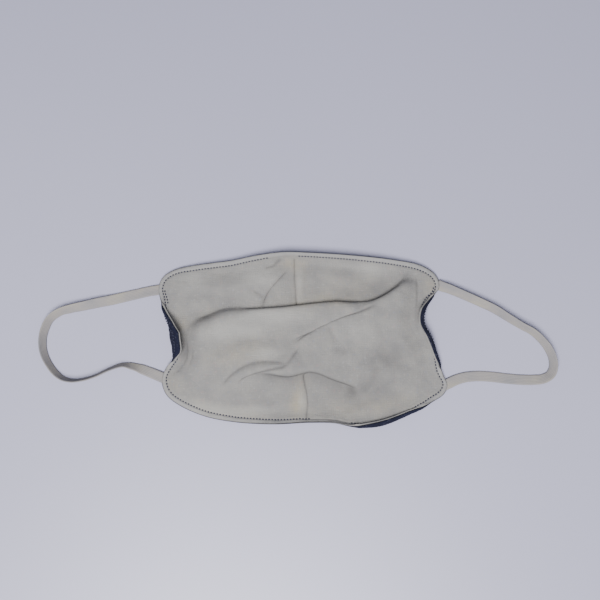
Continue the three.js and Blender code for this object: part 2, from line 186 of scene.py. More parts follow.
RIGHT_LOOP = [
    # x, y, roll in degrees, lift
    [99.4, 40.9, 8, 0.9],
    [102.3, 39.4, 20, 0.4],
    [107, 37.6, 34, 0.2],
    [114, 34.6, 42, 0],
    [122, 31.0, 44, 0],
    [131, 26.8, 46, 0],
    [140.5, 22.1, 48, 0],
    [150, 15.9, 54, 0],
    [160, 9.6, 60, 0],
    [167.5, 5.3, 60, 0],
    [173.4, -0.2, 58, 0],
    [178, -6.3, 54, 0],
    [180.8, -13, 52, 0],
    [181.4, -19.6, 46, 0],
    [179.2, -25.4, 34, 0],
    [174, -28.5, 20, 0],
    [167, -29.3, 10, 0],
    [158, -29.2, 4, 0],
    [148, -28.4, 0, 0],
    [138, -27.2, 0, 0],
    [128, -26.6, 0, 0],
    [119, -27.2, 0, 0.2],
    [112, -29.0, 0, 0.5],
    [106, -31.7, 0, 1.0],
    [102.2, -33.6, 0, 1.0],
]


def smoothstep(x, low, high):
    share = np.clip((x - low) / (high - low), 0, 1)
    return share * share * (3 - 2 * share)


def catmull_rom(points, places, closed=False):
    """Points of a centripetal Catmull-Rom curve; place 2.5 lies halfway from point 2 to point 3."""
    points = np.asarray(points, float)
    places = np.asarray(places, float)
    count = len(points)
    if closed:
        row = np.floor(places).astype(int) % count
        weight = (places - np.floor(places))[:, None]
        p0, p1, p2, p3 = (points[(row + k) % count] for k in (-1, 0, 1, 2))
    else:
        padded = np.vstack([2 * points[0] - points[1], points, 2 * points[-1] - points[-2]])
        row = np.clip(np.floor(places).astype(int), 0, count - 2)
        weight = (places - row)[:, None]
        p0, p1, p2, p3 = (padded[row + k] for k in (0, 1, 2, 3))
    d0, d1, d2 = (np.sqrt(np.linalg.norm(b - a, axis=1))[:, None]
                  for a, b in ((p0, p1), (p1, p2), (p2, p3)))
    d1 = np.where(d1 < 1e-4, 1.0, d1)
    d0 = np.where(d0 < 1e-4, d1, d0)
    d2 = np.where(d2 < 1e-4, d1, d2)
    t1 = ((p1 - p0) / d0 - (p2 - p0) / (d0 + d1) + (p2 - p1) / d1) * d1
    t2 = ((p2 - p1) / d1 - (p3 - p1) / (d1 + d2) + (p3 - p2) / d2) * d1
    c2 = 3 * (p2 - p1) - 2 * t1 - t2
    c3 = 2 * (p1 - p2) + t1 + t2
    return p1 + weight * (t1 + weight * (c2 + weight * c3))


def lengths_along(points):
    return np.concatenate([[0], np.cumsum(np.linalg.norm(np.diff(points, axis=0), axis=1))])


def elastic_section():
    """The ribbed section of the band, round its edge: across (x) and through (y)."""
    across = np.linspace(-1, 1, ELASTIC_RIBS * POINTS_PER_RIB + 1)
    rib = 1 - RIB_DEPTH + RIB_DEPTH * np.cos(math.pi * ELASTIC_RIBS * (across + 1))
    edge = np.sqrt(np.maximum(0, 1 - np.abs(across) ** BAND_EDGE_POWER))
    half = ELASTIC_THICKNESS / 2 * rib * edge
    x = across * ELASTIC_WIDTH / 2
    over = list(zip(x[::-1], half[::-1]))
    under = list(zip(x[1:-1], -half[1:-1]))
    return np.array(over + under)


def make_ear_loop(name, rows, outer_side):
    """The band swept along its route. Returns the object, its middle line and its length, in metres."""
    table = np.array(rows, float)
    roll = np.radians(table[:, 2])
    rest = (ELASTIC_WIDTH * np.sin(roll) + ELASTIC_THICKNESS * np.cos(roll)) / 2
    knots = np.column_stack([table[:, :2] - CENTRE, rest + table[:, 3] + ELASTIC_CLEARANCE])
    places = np.linspace(0, len(rows) - 1, 24 * (len(rows) - 1) + 1)
    fine = catmull_rom(knots, places)
    run = lengths_along(fine)
    steps = int(run[-1] / ELASTIC_STEP)
    at = np.linspace(0, run[-1], steps + 1)
    place = np.interp(at, run, places)
    middle = catmull_rom(knots, place)
    row = np.clip(np.floor(place).astype(int), 0, len(rows) - 2)
    turn = outer_side * (roll[row] + (roll[row + 1] - roll[row]) * smoothstep(place - row, 0, 1))
    tangent = np.gradient(middle, axis=0)
    tangent /= np.linalg.norm(tangent, axis=1)[:, None]
    level = np.cross([0, 0, 1.0], tangent)
    level /= np.linalg.norm(level, axis=1)[:, None]
    binormal = np.cross(tangent, level)
    wide = np.cos(turn)[:, None] * level + np.sin(turn)[:, None] * binormal
    thick = np.cross(tangent, wide)
    section = elastic_section()
    bm = bmesh.new()
    uv = bm.loops.layers.uv.new("band")
    rings = []
    for k in range(steps + 1):
        ring = middle[k] + section[:, :1] * wide[k] + section[:, 1:] * thick[k]
        rings.append([bm.verts.new(p * MM) for p in ring])
    count = len(section)
    for k in range(steps):
        for i in range(count):
            j = (i + 1) % count
            face = bm.faces.new((rings[k][i], rings[k][j], rings[k + 1][j], rings[k + 1][i]))
            for corner, (step, side) in zip(face.loops, ((k, i), (k, j), (k + 1, j), (k + 1, i))):
                corner[uv].uv = (at[step], section[side, 0])
    bm.faces.new(rings[0][::-1])
    bm.faces.new(rings[-1])
    bmesh.ops.recalc_face_normals(bm, faces=bm.faces)
    return mesh_piece(name, bm), middle * MM, run[-1] * MM


elastic, tree, shader = new_material("grey_elastic", 0.82)
band = add_node(tree, "ShaderNodeUVMap", uv_map="band").outputs["UV"]
knit = add_node(tree, "ShaderNodeMapping", [("Vector", band), ("Scale", (2.2, 0.9, 1.0))])
loops_noise = add_node(
    tree, "ShaderNodeTexNoise", [("Vector", knit.outputs[0]), ("Scale", 1.0), ("Detail", 2.0)])
age = add_node(tree, "ShaderNodeMapping", [("Vector", band), ("Scale", (0.045, 0.10, 1.0))])
age_noise = add_node(
    tree, "ShaderNodeTexNoise", [("Vector", age.outputs[0]), ("Scale", 1.0), ("Detail", 3.0)])
ramp = add_node(tree, "ShaderNodeValToRGB", [("Fac", age_noise.outputs["Fac"])])
ramp.color_ramp.elements[0].position = 0.30
ramp.color_ramp.elements[0].color = ELASTIC_DARK
ramp.color_ramp.elements[1].position = 0.70
ramp.color_ramp.elements[1].color = ELASTIC_PALE
middle_tint = ramp.color_ramp.elements.new(0.50)
middle_tint.color = ELASTIC_MIDDLE
speck = add_node(
    tree, "ShaderNodeMapRange",
    [("Value", loops_noise.outputs["Fac"]), ("To Min", 0.86), ("To Max", 1.12)])
tone = add_node(tree, "ShaderNodeVectorMath", [(0, ramp.outputs["Color"])], operation="SCALE")
tree.links.new(speck.outputs[0], tone.inputs["Scale"])
tree.links.new(tone.outputs[0], shader.inputs["Base Color"])
bump = add_node(
    tree, "ShaderNodeBump",
    [("Height", loops_noise.outputs["Fac"]), ("Strength", 0.5), ("Distance", 0.0002)])
tree.links.new(bump.outputs[0], shader.inputs["Normal"])

for name, node, rows, outer_side in (
    ("elastic_left", "ear_loop_left", LEFT_LOOP, -1),
    ("elastic_right", "ear_loop_right", RIGHT_LOOP, 1),
):
    loop, middle, length = make_ear_loop(name, rows, outer_side)
    loop.data.materials.append(elastic)
    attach(loop, "root")
    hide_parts(node)

# ---- Lining -------------------------------------------------------------------------------------
# The cream cotton inside of the mask: a wall of woven cloth sewn to the shell round its rim and
# turned out, with a nose dart and a chin dart, a big sideways pleat and many soft creases.
CLOTH = 1.0
GAP = 0.3
LAYER_OFFSET = GAP / 2 + CLOTH
LINING_TUCK = 0.4
BORDER = 9.0
CORE_HALF = np.array([72.0, 22.0])
PLEAT_CROWDING = 0.25
CROWDED_POWER = 1.8
PLEAT_PLACES = (0.35, 0.77)
VALLEY_FLOOR = LAYER_OFFSET
COMMON_LEVEL = 2.2
EDGE_CALM = 0.3
EDGE_CALM_WIDTH = 0.12
CURL_LIMIT = 0.55
CURL_INSET = 1.1
TURN_OUT = 7.5
TURN_OUT_SOFTNESS = 8
FLOOR_FIRMNESS = 2.2
FLOOR_SINK = 0.05
FLOOR_CLEARANCE = 0.02
NORMAL_SMOOTHINGS = 5
MARGIN_RISE = 0.30
STITCH_GROOVE = 0.42
PUCKER_RISE = 0.22
PUCKER_SIZE = 2.6
PUCKER_REACH = 9
STITCH_INSET = 3.9
SECOND_ROW_INSET = 5.8
RIM_DISTANCES = (
    6.8, SECOND_ROW_INSET, 4.9, 4.35, STITCH_INSET, 3.45, 2.9, 2.2, 1.5, 0.95, 0.5, 0.2, 0.0)
WIDE_RINGS = 4

# Outermost line of the panel, anticlockwise from the lower left corner: how far the rim curls in
# over the panel (lean) and the height of its middle (lift). Corners end the sides of the panel.
OUTLINE = [
    # x, y, lean, lift
    [-98.3, -39.9, 0, 1.5],
    [-89.5, -47.1, 0, 1.6],
    [-70, -55.5, 0, 2.8],
    [-48, -59.7, 0, 4.2],
    [-20, -61.3, 0.1, 5.4],
    [4, -60.5, 0.4, 6.0],
    [22, -60.9, 0.6, 6.2],
    [36, -63.4, 1.0, 6.8],
    [54, -62.4, 2.4, 7.4],
    [75, -54.8, 2.0, 6.4],
    [92, -46.7, 0.9, 4.2],
    [102.4, -38.9, 0.2, 1.9],
    [104.7, -33.5, 0, 1.6],
    [102.2, -26.6, 0.3, 2.6],
    [98.2, -14, 1.9, 6.4],
    [92.8, 0.6, 2.5, 10],
    [87.9, 10, 2.4, 11],
    [88.4, 19.2, 2.4, 10.4],
    [94.2, 29.6, 1.6, 6.6],
    [100.4, 37.4, 0.2, 2.8],
    [100.9, 42.6, 0, 1.8],
    [97.6, 49, 0, 1.8],
    [87, 55, 0, 3.4],
    [66, 58.8, 0, 5.4],
    [36, 62.0, 0.2, 6.9],
    [6, 63.9, 0.3, 7.5],
    [-14, 64.4, 0.3, 7.4],
    [-34, 61.9, 0, 6.0],
    [-52, 58.4, 0, 4.6],
    [-80, 55.0, 0, 3.0],
    [-94.5, 52, 0, 1.8],
    [-103, 46.6, 0, 1.6],
    [-106, 40, 0, 1.6],
    [-105.4, 32.6, 0.3, 3.0],
    [-101.6, 20.4, 1.7, 8.0],
    [-96.4, 9.4, 3.2, 11],
    [-94.8, 0, 7.0, 12],
    [-93.1, -8.4, 6.0, 10.6],
    [-93.2, -13.6, 1.8, 6.6],
    [-98.8, -20.4, 0.3, 2.7],
    [-101.9, -29.5, 0, 1.5],
]
CORNER_ROWS = (0, 11, 21, 31)
LOWER, RIGHT, UPPER, LEFT = range(4)

# Folds, creases and dart seams. left, right: how much the cloth stands up beside the line, seen along
# its run; groove: height of the line; width: softness; reach: how far the sides take to die away;
# pull: how steeply the cloth is drawn in over the line, within pull_reach; fade: length of each end
# over which it dies away; shade: how much soil and shadow the line holds.
FOLDS = [
    # name, left, right, groove, width, reach, pull, pull_reach, fade, shade, run
    ["main_pleat", 0, 5.6, -0.6, 1.5, 34, 0.85, 6, 26, 0.0,
     [[-96, 5], [-84, 9], [-70, 15], [-56, 20], [-45, 21], [-33, 21.2], [-10, 23], [20, 26.4],
      [50, 27.4], [66, 35], [84, 53]]],
    ["pleat_slope", 0, 0, -0.4, 2.4, 8, -0.75, 6, 14, 0.22,
     [[-92, 6], [-84, 8.6], [-70, 14.2], [-56, 19], [-45, 20.4], [-34, 21]]],
    ["pleat_edge", 0, 0, -0.2, 0.6, 8, 0, 2, 10, 0.10,
     [[-62, 18], [-50, 20.8], [-33, 21.3], [-10, 23.1], [20, 26.5], [50, 27.5], [62, 32]]],
    ["chin_step", 5.4, 0, -0.8, 1.7, 30, 0.8, 6, 16, 0.0,
     [[-52, -31], [-34, -25], [-10, -26.5], [6, -23.5], [22, -28.8], [38, -35], [44, -43]]],
    ["chin_step_edge", 0, 0, -0.4, 0.6, 8, 0, 2, 8, 0.50,
     [[-31, -23.8], [-20, -24.6], [-10, -26.4], [3, -22.6], [10, -23], [22, -28], [40, -35.4]]],
    ["nose_diagonal", -0.6, 2.0, -1.4, 1.6, 13, 0.5, 6, 9, 0.12,
     [[-10, 54], [-19, 44], [-27, 33], [-33, 23]]],
    ["nose_diagonal_edge", 0, 0, -0.7, 0.8, 8, 0.4, 2, 6, 0.42,
     [[-10.5, 52.5], [-15, 46.5], [-20, 41], [-24.5, 36], [-27, 31], [-29, 25]]],
    ["cheek_crease", 0.8, 0.8, -1.2, 1.2, 9, 0.5, 6, 14, 0.0,
     [[46, 20], [26, 14.5], [6, 5], [-9, -4.5]]],
    ["cheek_line", 0.5, 0, -0.9, 0.55, 5, 0.5, 2, 9, 0.60,
     [[-8, -1.5], [0, 3], [10, 7], [20, 11.5], [27, 14.5], [34, 16.5], [44, 19], [56, 23]]],
    ["cheek_second_line", 0, 0.3, -0.5, 0.5, 4, 0.3, 2, 5, 0.42,
     [[-5, -3.4], [-1, -0.8], [7, 3.5], [12, 6]]],
    ["mouth_ridge", 0, 0, 2.0, 3.0, 8, 0, 6, 12, 0.0,
     [[-3, -8], [-12, -18], [-26, -22], [-40, -27], [-49, -35]]],
    ["mouth_line", 0, 0.5, -1.0, 0.6, 5, 0.5, 2, 8, 0.55,
     [[-8, -16.5], [-13, -19.3], [-20, -20.3], [-27, -21.3], [-35, -23.4], [-41, -27], [-47, -33]]],
    ["mouth_upper_line", 0.4, 0, -0.7, 0.8, 5, 0.3, 2, 6, 0.32,
     [[-1.5, -5.5], [-6, -11.6], [-11, -17.5], [-18, -17], [-31, -16.4], [-42, -19.4], [-50, -25],
      [-58, -34]]],
    ["left_hollow", 0, 0, -3.6, 4.6, 8, 0, 6, 14, 0.10,
     [[-96, 22], [-89, 8], [-85, -2], [-86, -13], [-93, -25]]],
    ["left_roll", 0, 0, 2.6, 4.4, 8, 0, 6, 12, 0.0,
     [[-82, 10], [-78, 0], [-79, -14], [-85, -26]]],
    ["left_roll_line", 0.3, 0, -0.9, 0.9, 4, 0.3, 2, 8, 0.20,
     [[-85, 4], [-83.4, -3], [-84, -14], [-90, -23], [-96, -27]]],
    ["left_roll_second", 0.3, 0, -0.6, 0.9, 4, 0.3, 2, 8, 0.14,
     [[-79, -4], [-79.5, -14], [-84, -25]]],
    ["right_hollow", 0, 0, -2.4, 4.0, 8, 0, 6, 14, 0.06,
     [[88, 46], [85.5, 30], [81.5, 16], [83, 4], [88, -12]]],
    ["right_roll", 0, 0, 2.2, 4.0, 8, 0, 6, 12, 0.0,
     [[80, 46], [76, 30], [74, 16], [76, 2]]],
    ["right_roll_line", 0, 0.7, -0.4, 0.8, 5, 0.4, 2, 8, 0.20,
     [[84, 48], [83.6, 36], [83.2, 22], [84, 8], [86, 0]]],
    ["fan_line", 0.5, 0, -0.8, 1.4, 6, 0.2, 3, 8, 0.14,
     [[80, 51], [70, 43], [58, 34], [50, 29.5]]],
    ["fan_lower_line", 0, 0, -0.8, 1.2, 6, 0.2, 3, 8, 0.12,
     [[76, 40], [64, 33.5], [50, 25], [36, 21]]],
    ["jaw_valley", 0, 0, -2.0, 6.0, 8, 0, 6, 12, 0.08,
     [[48, -5], [58, -9], [68, -11.5], [80, -8]]],
    ["jaw_band", 0, 0.6, -0.9, 2.0, 6, 0, 6, 7, 0.12,
     [[54.5, -16], [52, -24], [48.5, -31], [40, -38]]],
    ["chin_pocket", 0, 0, -1.6, 2.4, 6, 0, 6, 5, 0.22,
     [[30, -35.5], [36, -39], [40, -40.5]]],
    ["chin_slope", 1.2, -0.6, 0, 3.0, 14, 0, 6, 14, 0.06,
     [[-72, -42], [-52, -45], [-26, -46], [-8, -45]]],
    ["cheek_dent", 0, 0, -0.8, 1.4, 5, 0, 6, 4, 0.14,
     [[18.5, 10], [22, 3], [24.5, -4]]],
    ["cheek_dent_lower", 0, 0, -0.6, 1.8, 5, 0, 6, 4, 0.10,
     [[22, -6], [28, -9], [31, -13]]],
    ["middle_band", 0, 0.4, -0.6, 2.6, 8, 0, 6, 10, 0.06,
     [[-61, -11.6], [-46, -3.3], [-31, -2.6], [-16.5, -1]]],
    ["right_chin_line", 0.4, 0, -0.6, 1.4, 6, 0, 6, 8, 0.08,
     [[28, -52], [39, -47.5], [48, -44.5], [58, -43]]],
    ["upper_short_line", 0, 0, -0.7, 1.0, 5, 0.2, 2, 3, 0.16,
     [[-38, 37], [-33, 34], [-28, 31.5]]],
    ["nose_rim_fold", 0.5, 0, -0.9, 0.9, 5, 0.4, 2, 3, 0.38,
     [[-15, 61], [-18.5, 58], [-22, 54.5], [-29, 52.5]]],
    ["upper_faint_line", 0, 0, -0.4, 1.1, 5, 0, 2, 5, 0.10,
     [[-76, 48.5], [-60, 48.2], [-47, 50], [-36, 49.6]]],
    ["upper_soft_line", 0, 0, -0.5, 2.4, 5, 0, 6, 7, 0.05,
     [[-88, 34], [-72, 33], [-58, 31.5], [-44, 29]]],
    ["nose_dart", 0.5, 0, -0.6, 2.2, 8, 0, 6, 6, 0.0,
     [[-5.5, 59], [-5.3, 42], [-4, 27]]],
    ["nose_dart_seam", 0, 0, -0.8, 0.45, 8, 0.4, 1.6, 2, 0.55,
     [[-6.2, 61.5], [-5.8, 50], [-5.2, 38], [-4.6, 25.5]]],
    ["nose_allowance", 0, 0, 0.6, 1.7, 8, 0, 6, 5, 0.0,
     [[-1.8, 60], [-2.2, 45], [-2.2, 27]]],
    ["nose_allowance_edge", 0, 0, -0.35, 1.0, 8, 0, 6, 7, 0.09,
     [[1.6, 57], [1.4, 45], [0.4, 31]]],
    ["chin_dart", 0, 0.5, -0.5, 2.2, 8, 0, 6, 6, 0.0,
     [[1.6, -27], [2.6, -40], [2.4, -57]]],
    ["chin_dart_seam", 0, 0, -0.8, 0.45, 8, 0.4, 1.6, 2, 0.55,
     [[4.5, -24.2], [1.4, -25.2], [1.2, -30], [3, -40], [3.5, -46], [2.4, -59]]],
    ["chin_allowance", 0, 0, 0.4, 1.5, 8, 0, 6, 6, 0.0,
     [[-0.8, -36], [0.2, -45], [-0.4, -57]]],
]

# Broad rounded swells and dents: centre, half lengths along and across the turn, turn, height.
SWELLS = [
    # x, y, half_x, half_y, turn in degrees, height
    [-58, -12, 26, 20, 8, 1.8],
    [40, 2, 30, 18, -10, 1.2],
    [-62, 38, 34, 11, 8, 2.2],
    [26, 49, 24, 9, -4, 1.6],
    [58, 40, 14, 9, 24, -1.8],
    [12, -44, 30, 12, 0, -2.0],
    [74, -30, 18, 14, -20, 1.0],
    [-20, 42, 8, 9, 0, 0.9],
    [14, 40, 9, 9, 0, -0.8],
]


class Outline:
    """The rim of the panel; a place is a row of the table and its fraction."""

    def __init__(self, rows):
        table = np.array(rows, float)
        self.plan = table[:, :2] - CENTRE
        self.curl = table[:, 2:]
        self.count = len(rows)
        ends = [*CORNER_ROWS, self.count]
        self.sides = []
        for start, end in zip(ends[:-1], ends[1:]):
            places = np.linspace(start, end, 161)
            self.sides.append((places, lengths_along(catmull_rom(self.plan, places, closed=True))))

    def place(self, side, fraction):
        places, run = self.sides[side]
        return np.interp(np.clip(fraction, 0, 1) * run[-1], run, places)

    def at(self, places):
        """Plan points, lean, lift, and the level direction in over the panel."""
        plan = catmull_rom(self.plan, places, closed=True)
        curl = catmull_rom(self.curl, places, closed=True)
        inward = np.clip(plan, -CORE_HALF, CORE_HALF) - plan
        inward /= np.linalg.norm(inward, axis=1)[:, None]
        return plan, np.maximum(0, curl[:, 0]), curl[:, 1], inward

    def inner_edge(self, side, fraction):
        plan, _, _, inward = self.at(self.place(side, fraction))
        return plan + inward * BORDER


outline = Outline(OUTLINE)


def near_fold(run, fade, points):
    """Signed distance to a fold's run (left is positive), the normal to its left, and its strength."""
    places = np.linspace(0, len(run) - 1, 8 * (len(run) - 1) + 1)
    line = catmull_rom(np.array(run, float) - CENTRE, places)
    along = lengths_along(line)
    best = np.full(len(points), np.inf)
    signed = np.zeros(len(points))
    normal = np.zeros((len(points), 2))
    travelled = np.zeros(len(points))
    for k in range(len(line) - 1):
        step = line[k + 1] - line[k]
        size = np.linalg.norm(step)
        offset = points - line[k]
        share = np.clip(offset @ step / size**2, 0, 1)
        away = offset - share[:, None] * step
        distance = np.linalg.norm(away, axis=1)
        nearer = distance < best
        best = np.where(nearer, distance, best)
        left = np.array([-step[1], step[0]]) / size
        signed = np.where(nearer, np.sign(away @ left) * distance, signed)
        normal[nearer] = left
        travelled = np.where(nearer, along[k] + share * size, travelled)
    strength = smoothstep(travelled, 0, fade) * smoothstep(along[-1] - travelled, 0, fade)
    return signed, normal, strength


def unevenness(points):
    """Gentle unevenness of worn cloth, from smooth noise of three sizes."""
    waves = ((15.0, 0.75), (6.5, 0.36), (2.8, 0.10))
    return np.array([
        sum(height * noise.noise(Vector((x / size, y / size, size))) for size, height in waves)
        for x, y in points])


def sum_of_patches(rows, flat):
    """Sum of soft round patches over places on the flat cloth, in rows like those of SWELLS."""
    total = np.zeros(len(flat))
    for x, y, half_x, half_y, turn, strength in rows:
        c, s = math.cos(math.radians(turn)), math.sin(math.radians(turn))
        away = flat + CENTRE - (x, y)
        along = (away[:, 0] * c + away[:, 1] * s) / half_x
        across = (away[:, 1] * c - away[:, 0] * s) / half_y
        total += strength * np.exp(-(along**2 + across**2))
    return total


def folded(points):
    """Height of the folds over plan points, where each point is drawn to, and the folds' shade."""
    height = unevenness(points)
    moved = points.copy()
    shade = np.zeros(len(points))
    for _, left, right, groove, width, reach, pull, pull_reach, fade, dark, run in FOLDS:
        d, normal, strength = near_fold(run, fade, points)
        on_left = left / (1 + np.exp(-d / width)) * np.exp(-np.maximum(d, 0) / reach)
        on_right = right / (1 + np.exp(d / width)) * np.exp(-np.maximum(-d, 0) / reach)
        at_line = groove * np.exp(-((d / (2 * width)) ** 2))
        height += strength * (on_left + on_right + at_line)
        draw = strength * pull * d * np.exp(-((d / pull_reach) ** 2))
        moved -= normal * draw[:, None]
        shade = np.maximum(shade, strength * dark * np.exp(-((d / (1.5 * width)) ** 2)))
    return height + sum_of_patches(SWELLS, points), moved, shade


def settle(height):
    """Height of the sheet's middle, softly stopped where the cloth meets the floor."""
    over = COMMON_LEVEL + height - VALLEY_FLOOR
    stopped = np.log1p(np.exp(FLOOR_FIRMNESS * over)) / FLOOR_FIRMNESS - FLOOR_SINK
    return np.maximum(VALLEY_FLOOR, VALLEY_FLOOR + stopped)


def patch_plan(s, t):
    """Plan points of the inner patch, blended from its four edges."""
    low, high = outline.inner_edge(LOWER, s), outline.inner_edge(UPPER, 1 - s)
    left, right = outline.inner_edge(LEFT, 1 - t), outline.inner_edge(RIGHT, t)
    ends = np.array([0.0, 1.0])
    low_left, low_right = outline.inner_edge(LOWER, ends)
    high_right, high_left = outline.inner_edge(UPPER, ends)
    s, t = s[:, None], t[:, None]
    return ((1 - t) * low + t * high + (1 - s) * left + s * right
            - (1 - s) * (1 - t) * low_left - s * (1 - t) * low_right
            - (1 - s) * t * high_left - s * t * high_right)


def row_share(row, below, above, crossing):
    """Share of the depth at which a row lies; rows crowd a little towards the main pleat."""
    def crowd(away):
        return (1 - PLEAT_CROWDING) * away + PLEAT_CROWDING * away**CROWDED_POWER

    under = crossing * (1 - crowd(np.clip(1 - row / below, 0, 1)))
    over = crossing + (1 - crossing) * crowd(np.clip((row - below) / above, 0, 1))
    return np.where(row <= below, under, over)


class Sheet:
    """The middle surface between lining and shell: a grid with a border of rings out to the rim.

    points and normals in millimetres, cut (the undraped plan), shade, and distance from the rim."""

    def __init__(self, columns, below, above):
        self.columns, self.rows = columns, below + above
        s = np.arange(columns + 1) / columns
        low = np.full(columns + 1, PLEAT_PLACES[0])
        high = np.full(columns + 1, PLEAT_PLACES[1])
        for _ in range(20):
            half = (low + high) / 2
            beyond = near_fold(FOLDS[0][-1], 1, patch_plan(s, half))[0] > 0
            high = np.where(beyond, half, high)
            low = np.where(beyond, low, half)
        crossing = (low + high) / 2
        row, column = np.mgrid[0 : self.rows + 1, 0 : columns + 1]
        row, column = row.ravel(), column.ravel()
        s = column / columns
        t = row_share(row, below, above, crossing[column])
        plan = patch_plan(s, t)
        height, moved, shade = folded(plan)
        room = smoothstep(np.minimum.reduce([s, 1 - s, t, 1 - t]), 0, EDGE_CALM_WIDTH)
        calm = EDGE_CALM + (1 - EDGE_CALM) * room
        z = settle(np.where(height > 0, height * calm, height))
        grid = np.column_stack([moved, z])

        # The patch's edge, anticlockwise, and its places on the outline.
        lower = [(k, 0) for k in range(columns)]
        right = [(columns, k) for k in range(self.rows)]
        upper = [(k, self.rows) for k in range(columns, 0, -1)]
        left = [(0, k) for k in range(self.rows, 0, -1)]
        self.edge = np.array([r * (columns + 1) + c for c, r in lower + right + upper + left])
        right_rows = np.arange(self.rows)
        left_rows = np.arange(self.rows, 0, -1)
        self.place = np.concatenate([
            outline.place(LOWER, np.arange(columns) / columns),
            outline.place(RIGHT, row_share(right_rows, below, above, crossing[-1])),
            outline.place(UPPER, 1 - np.arange(columns, 0, -1) / columns),
            outline.place(LEFT, 1 - row_share(left_rows, below, above, crossing[0]))])
        rings, distances, total = self.border(grid[self.edge])
        self.count = len(self.edge)
        self.inward = outline.at(self.place)[3]

        # Rings: height and shade of the folds that run on into the border.
        points, cut, shades, rim_distance = [grid], [plan], [shade], [np.full(len(grid), 99.0)]
        edge_height = height[self.edge]
        for ring, distance in zip(rings, distances):
            flat = plan[self.edge] - self.inward * (total - distance)[:, None]
            ring_height, _, ring_shade = folded(flat)
            share = np.clip(distance / total, 0, 1)
            ring = ring.copy()
            ring[:, 2] += 0.6 * np.clip(ring_height - edge_height, -1.2, 1.0) * share * (1 - share)
            ring[:, 2] = np.maximum(VALLEY_FLOOR, ring[:, 2])
            points.append(ring)
            cut.append(flat)
            shades.append(ring_shade * smoothstep(distance, 1.0, 4.5))
            rim_distance.append(distance)
        self.points = np.vstack(points)
        self.cut = np.vstack(cut)
        self.shade = np.concatenate(shades)
        self.rim_distance = np.concatenate(rim_distance)
        self.rings = len(rings)
        self.normals = self.smoothed_normals()
        lean = np.concatenate([np.zeros(len(grid)), np.tile(outline.at(self.place)[1], self.rings)])
        self.uprightness = smoothstep(lean, 1.7, 0.6) * smoothstep(self.rim_distance, 6.0, 1.0)

    def border(self, edge):
        """Rings of points from the patch's edge out to the rim, and their distance from the rim."""
        plan, lean, lift, inward = outline.at(self.place)
        lean = np.minimum(lean, CURL_LIMIT * np.maximum(0, lift - edge[:, 2]))
        curled = smoothstep(lean, 0.8, 2.2)
        turn_out = -TURN_OUT * (1 - np.exp(-(lean**2) / TURN_OUT_SOFTNESS)) + CURL_INSET * curled
        across = [np.full_like(lean, BORDER), 5.5 - 0.6 * lean, turn_out, lean + CURL_INSET / 2 * curled]
        rise = lift - edge[:, 2]
        up = [edge[:, 2], edge[:, 2] + 0.05 * rise, edge[:, 2] + 0.5 * rise, lift]
        drawn = edge[:, :2] - (plan + inward * BORDER)
        fine = []
        for f in np.linspace(0, 1, 61):
            weight = [(1 - f) ** 3, 3 * f * (1 - f) ** 2, 3 * f * f * (1 - f), f**3]
            out = sum(w * a for w, a in zip(weight, across))
            flat = plan + inward * out[:, None] + drawn * weight[0]
            fine.append(np.column_stack([flat, sum(w * h for w, h in zip(weight, up))]))
        fine = np.array(fine)
        steps = np.linalg.norm(np.diff(fine, axis=0), axis=2)
        from_rim = np.vstack([np.cumsum(steps[::-1], axis=0)[::-1], np.zeros(len(edge))])
        total = from_rim[0]
        wanted = [total + (RIM_DISTANCES[0] - total) * k / (WIDE_RINGS + 1)
                  for k in range(1, WIDE_RINGS + 1)]
        wanted += [np.full_like(total, r) for r in RIM_DISTANCES]
        rings = []
        for distance in wanted:
            ring = np.empty((len(edge), 3))
            for k in range(len(edge)):
                for axis in range(3):
                    ring[k, axis] = np.interp(distance[k], from_rim[::-1, k], fine[::-1, k, axis])
            rings.append(ring)
        return rings, wanted, total

    def quads(self):
        """Every quad of the sheet as four point numbers, anticlockwise from above."""
        row, column = np.mgrid[0 : self.rows, 0 : self.columns]
        corner = (row * (self.columns + 1) + column).ravel()
        wide = self.columns + 1
        grid = np.column_stack([corner, corner + 1, corner + wide + 1, corner + wide])
        made = [grid]
        inner = self.edge
        start = (self.columns + 1) * (self.rows + 1)
        for ring in range(self.rings):
            outer = start + ring * self.count + np.arange(self.count)
            made.append(np.column_stack(
                [outer, np.roll(outer, -1), np.roll(inner, -1), inner]))
            inner = outer
        return np.vstack(made)

    def smoothed_normals(self):
        """Normals averaged with their neighbours, so that thick cloth turns evenly over the folds."""
        quads = self.quads()
        corners = self.points[quads]
        face = np.cross(corners[:, 2] - corners[:, 0], corners[:, 3] - corners[:, 1])
        normals = np.zeros_like(self.points)
        for k in range(4):
            np.add.at(normals, quads[:, k], face)
        normals /= np.linalg.norm(normals, axis=1)[:, None] + 1e-12
        for _ in range(NORMAL_SMOOTHINGS):
            mean = normals[quads].sum(axis=1)
            normals = np.zeros_like(normals)
            for k in range(4):
                np.add.at(normals, quads[:, k], mean)
            normals /= np.linalg.norm(normals, axis=1)[:, None] + 1e-12
        return normals

    def ring(self, inset):
        """Numbers of the points on the ring at one of the fixed distances from the rim."""
        ring = WIDE_RINGS + RIM_DISTANCES.index(inset)
        start = (self.columns + 1) * (self.rows + 1) + ring * self.count
        return start + np.arange(self.count)


